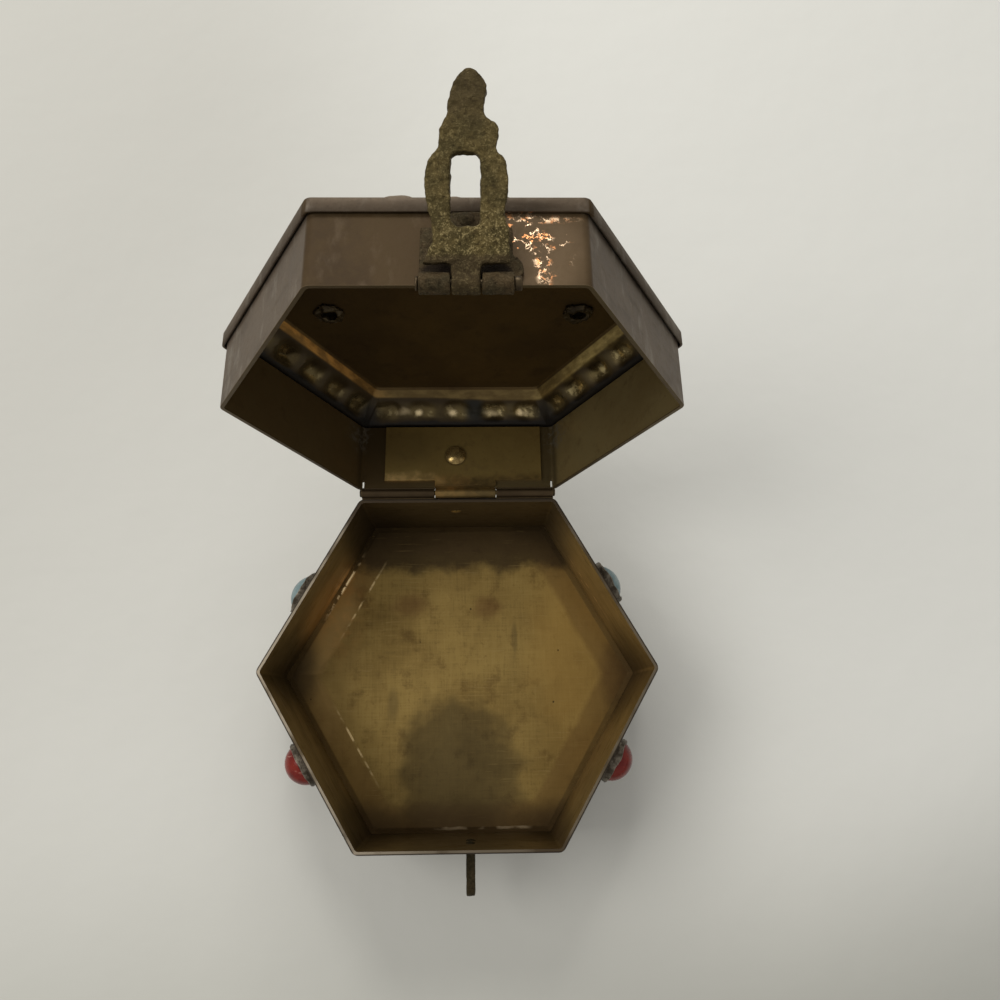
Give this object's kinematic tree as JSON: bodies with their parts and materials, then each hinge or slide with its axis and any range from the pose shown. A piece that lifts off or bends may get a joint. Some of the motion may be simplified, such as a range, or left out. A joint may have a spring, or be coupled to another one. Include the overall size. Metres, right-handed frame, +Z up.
{
  "type": "hexagonal hinged box",
  "caption": "Hexagonal sheet-brass paan box with a beaded lid on a pin hinge, a slotted hasp over a staple, and domed stones in cups",
  "frame": {"origin": "centre of the underside, where the box stands", "axes": "+X right, +Y towards the hinge at the back, +Z up; the walls with the hinge and the hasp face +Y and -Y"},
  "size_m": [0.1114, 0.1655, 0.1513],
  "materials": {
    "aged_brass": "satin",
    "lid_patina": "satin",
    "cast_brass": "matte",
    "cup_brass": "satin",
    "coral": "gloss",
    "turquoise": "gloss"
  },
  "bodies": {
    "box": {"box_wall": "aged_brass", "box_base": "aged_brass", "box_hinge_leaf": "aged_brass", "box_hinge_rivet": "aged_brass", "hinge_pin": "aged_brass", "staple": "cast_brass", "setting_front_left": "cup_brass", "setting_front_right": "cup_brass", "setting_rear_left": "cup_brass", "setting_rear_right": "cup_brass", "coral_front_left": "coral", "coral_front_right": "coral", "turquoise_rear_left": "turquoise", "turquoise_rear_right": "turquoise"},
    "lid": {"lid_wall": "lid_patina", "lid_cap": "lid_patina", "lid_hinge_leaf": "aged_brass", "lid_hinge_rivet": "aged_brass", "lid_setting_left": "cup_brass", "lid_setting_right": "cup_brass", "lid_stone_left": "coral", "lid_stone_right": "coral", "hasp_leaf": "cast_brass", "hasp_rivet": "cast_brass", "hasp_pin": "cast_brass"},
    "hasp": {"hasp_arm": "cast_brass"}
  },
  "joints": [
    {"name": "lid_hinge", "type": "hinge", "parent": "box", "child": "lid", "pos_m": [0, 0.04938, 0.04113], "axis": [1, 0, 0], "range_deg": [0, 101.2]},
    {"name": "hasp_pivot", "type": "hinge", "parent": "lid", "child": "hasp", "pos_m": [0.0036, 0.06753, 0.13882], "axis": [1, 0, 0], "range_deg": [-28, 152]}
  ]
}
